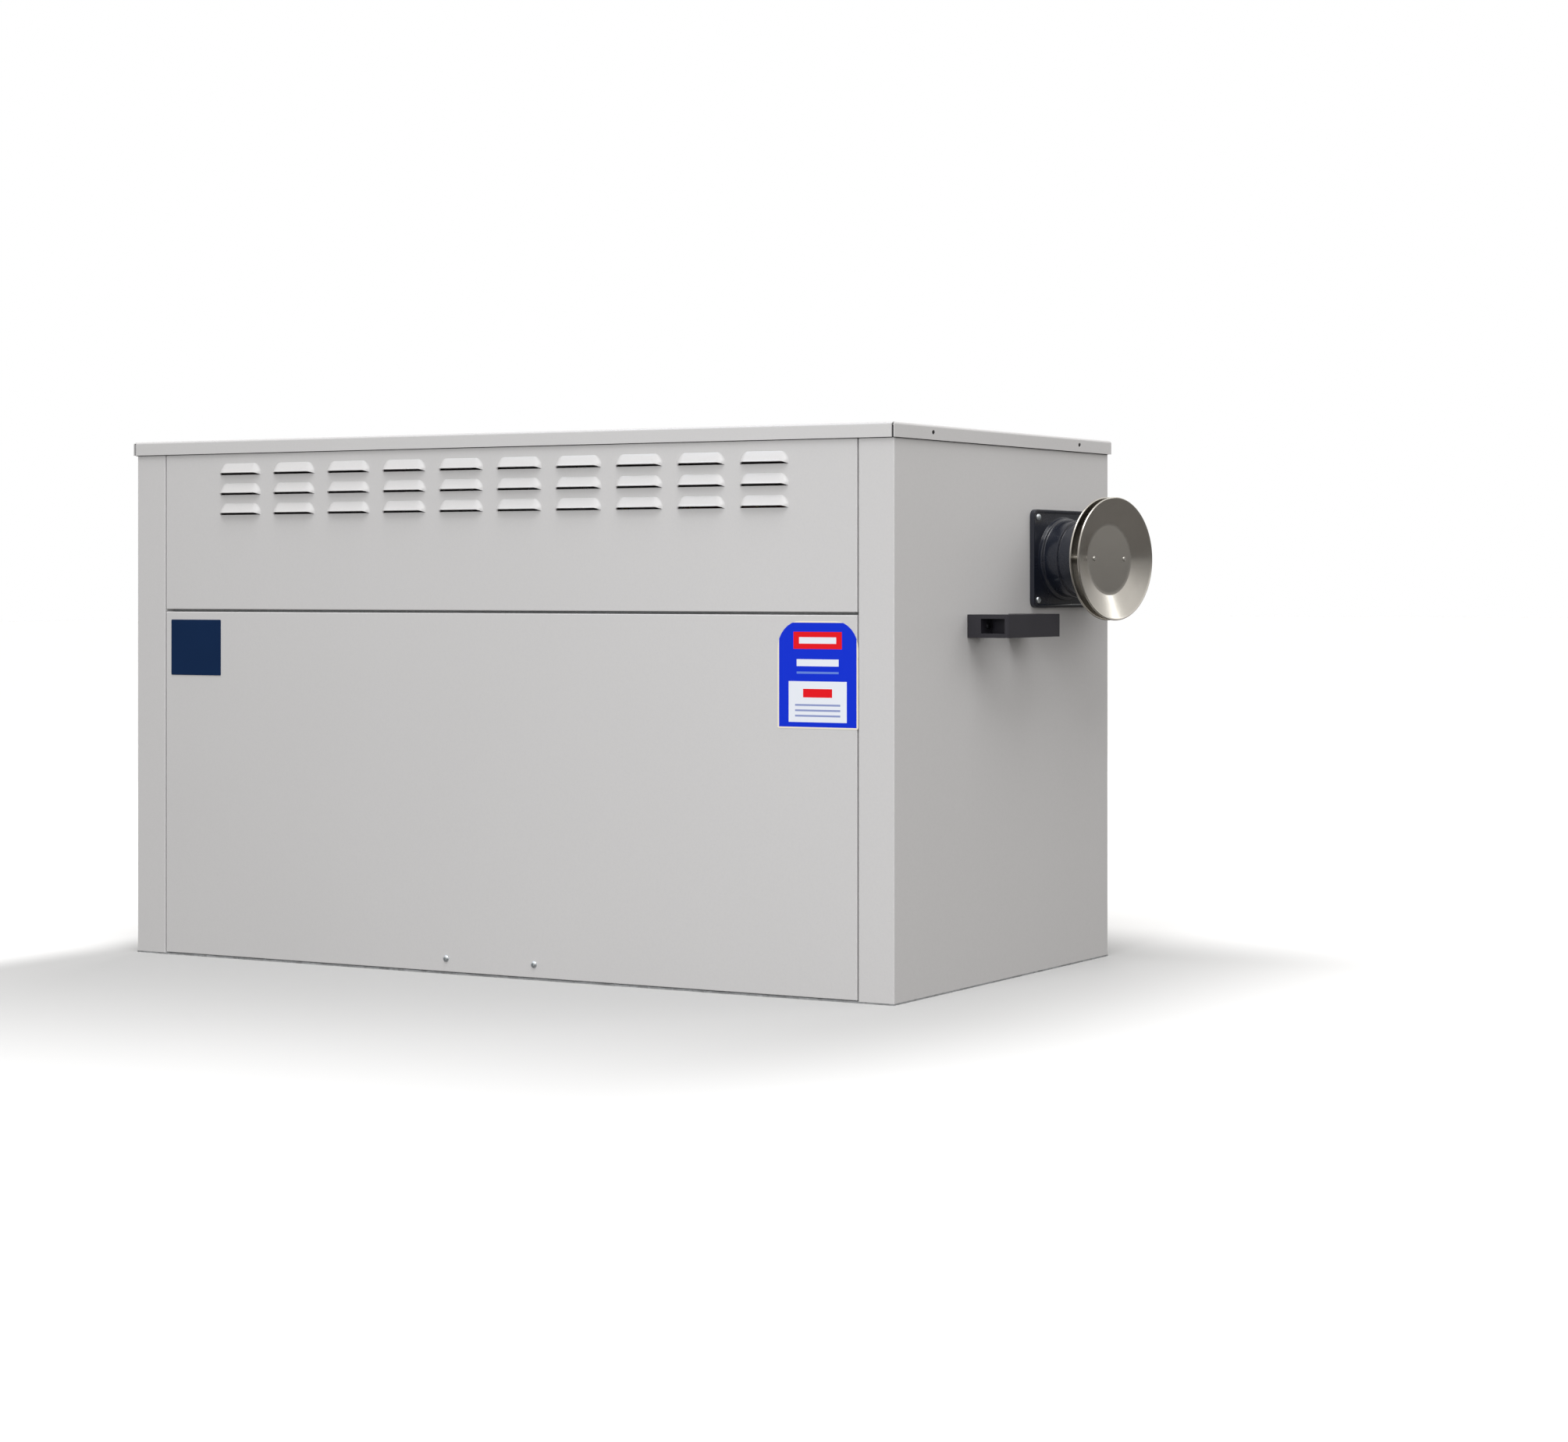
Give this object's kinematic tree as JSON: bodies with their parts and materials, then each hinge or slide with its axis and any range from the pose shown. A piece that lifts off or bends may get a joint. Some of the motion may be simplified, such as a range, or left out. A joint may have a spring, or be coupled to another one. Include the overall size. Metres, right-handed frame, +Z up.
{
  "type": "ducted gas furnace",
  "caption": "Low rectangular outdoor gas warm-air furnace in painted sheet steel, with louvred front, side flue cowl, carrying handles, duct spigots behind and a full working interior.",
  "frame": {"origin": "on the floor, under the middle of the case", "axes": "+X to the right seen from the front (long side), front towards -Y, duct spigots towards +Y, +Z up"},
  "size_m": [1.322, 0.4488, 0.65],
  "materials": {
    "case_paint": "satin light grey powder coat",
    "galvanised_sheet": "spangled galvanised sheet",
    "insulation": "glass fibre blanket",
    "badge_navy": "plain navy plate",
    "zinc_screw": "bright zinc plate",
    "mount_rubber": "black rubber",
    "shaft_steel": "ground steel",
    "motor_enamel": "dark grey enamel",
    "bracket_zinc": "dull zinc plate",
    "tube_steel": "aluminised steel, slightly heat tinted",
    "wheel_steel": "plain steel",
    "fan_plastic": "dark grey moulding",
    "flue_plastic": "glossy black",
    "cowl_steel": "spun stainless steel",
    "strap_steel": "stainless steel",
    "burner_steel": "aluminised steel",
    "gas_pipe_black": "black gas pipe",
    "orifice_brass": "machined brass",
    "valve_aluminium": "as cast",
    "knob_plastic": "black moulding",
    "electrode_ceramic": "glazed white ceramic",
    "switch_body": "dark grey moulding",
    "button_red": "red moulding",
    "hose_silicone": "red-brown silicone",
    "board_green": "green board with dark components",
    "transformer_core": "varnished laminations",
    "rocker_plastic": "black moulding",
    "gland_plastic": "black nylon",
    "handle_plastic": "charcoal, fine grain"
  },
  "bodies": {
    "case": {"base_tray": "galvanised_sheet", "left_side_panel": "case_paint", "right_side_panel": "case_paint", "rear_panel": "case_paint", "lid": "case_paint", "upper_front_panel": "case_paint", "mid_rail": "galvanised_sheet", "shelf": "galvanised_sheet", "partition": "galvanised_sheet", "duct_spigots": "galvanised_sheet", "blower_rails": "galvanised_sheet", "blower_mounts": "mount_rubber", "blower_scroll": "galvanised_sheet", "blower_side_plates": "galvanised_sheet", "blower_motor": "motor_enamel", "motor_bracket": "bracket_zinc", "heat_tube_1": "tube_steel", "heat_tube_2": "tube_steel", "heat_tube_3": "tube_steel", "heat_tube_4": "tube_steel", "collector_box": "galvanised_sheet", "draft_fan_housing": "galvanised_sheet", "draft_fan_motor": "motor_enamel", "flue_joint_plate": "galvanised_sheet", "flue_duct": "galvanised_sheet", "flue_flange": "flue_plastic", "cowl_ring": "cowl_steel", "cowl_dish": "cowl_steel", "cowl_strap": "strap_steel", "burners": "burner_steel", "burner_bracket": "galvanised_sheet", "gas_manifold": "gas_pipe_black", "gas_orifices": "orifice_brass", "gas_valve": "valve_aluminium", "gas_inlet_pipe": "gas_pipe_black", "igniter": "electrode_ceramic", "flame_sensor": "electrode_ceramic", "limit_switch": "switch_body", "pressure_switch": "switch_body", "pressure_hose": "hose_silicone", "control_box": "galvanised_sheet", "control_box_cover": "galvanised_sheet", "circuit_board": "board_green", "transformer": "transformer_core", "switch_frame": "rocker_plastic", "cable_gland": "gland_plastic", "carrying_handles": "handle_plastic", "case_screws": "zinc_screw"},
    "lower_panel": {"lower_front_panel": "case_paint", "panel_insulation": "insulation", "badge_plate": "badge_navy", "panel_screws": "zinc_screw"},
    "blower_rotor": {"blower_wheel": "galvanised_sheet", "blower_shaft": "shaft_steel"},
    "draft_rotor": {"draft_fan_wheel": "wheel_steel", "draft_fan_shaft": "shaft_steel", "motor_cooling_fan": "fan_plastic"},
    "gas_knob": {"gas_valve_knob": "knob_plastic"},
    "rocker": {"power_switch": "rocker_plastic"},
    "reset_button": {"limit_reset_button": "button_red"}
  },
  "joints": [
    {"name": "lower_panel_swing", "type": "hinge", "parent": "case", "child": "lower_panel", "pos_m": [0, -0.197, 0.4345], "axis": [-1, 0, 0], "range_deg": [0, 25]},
    {"name": "blower_spin", "type": "hinge", "parent": "case", "child": "blower_rotor", "pos_m": [-0.3, 0, 0.2262], "axis": [0, 1, 0], "continuous": true},
    {"name": "draft_fan_spin", "type": "hinge", "parent": "case", "child": "draft_rotor", "pos_m": [0.371, 0.0495, 0.5], "axis": [0, 0, 1], "continuous": true},
    {"name": "gas_knob_turn", "type": "hinge", "parent": "case", "child": "gas_knob", "pos_m": [0.003, -0.166, 0.5899], "axis": [0, 1, 0], "range_deg": [0, 90]},
    {"name": "power_switch_rock", "type": "hinge", "parent": "case", "child": "rocker", "pos_m": [-0.5108, -0.155, 0.5079], "axis": [1, 0, 0], "range_deg": [0, 16]},
    {"name": "reset_button_press", "type": "slide", "parent": "case", "child": "reset_button", "axis": [0, 0, -1], "range_m": [0, 0.0025], "stiffness_N_per_m": 300, "springref_m": -0.002}
  ]
}
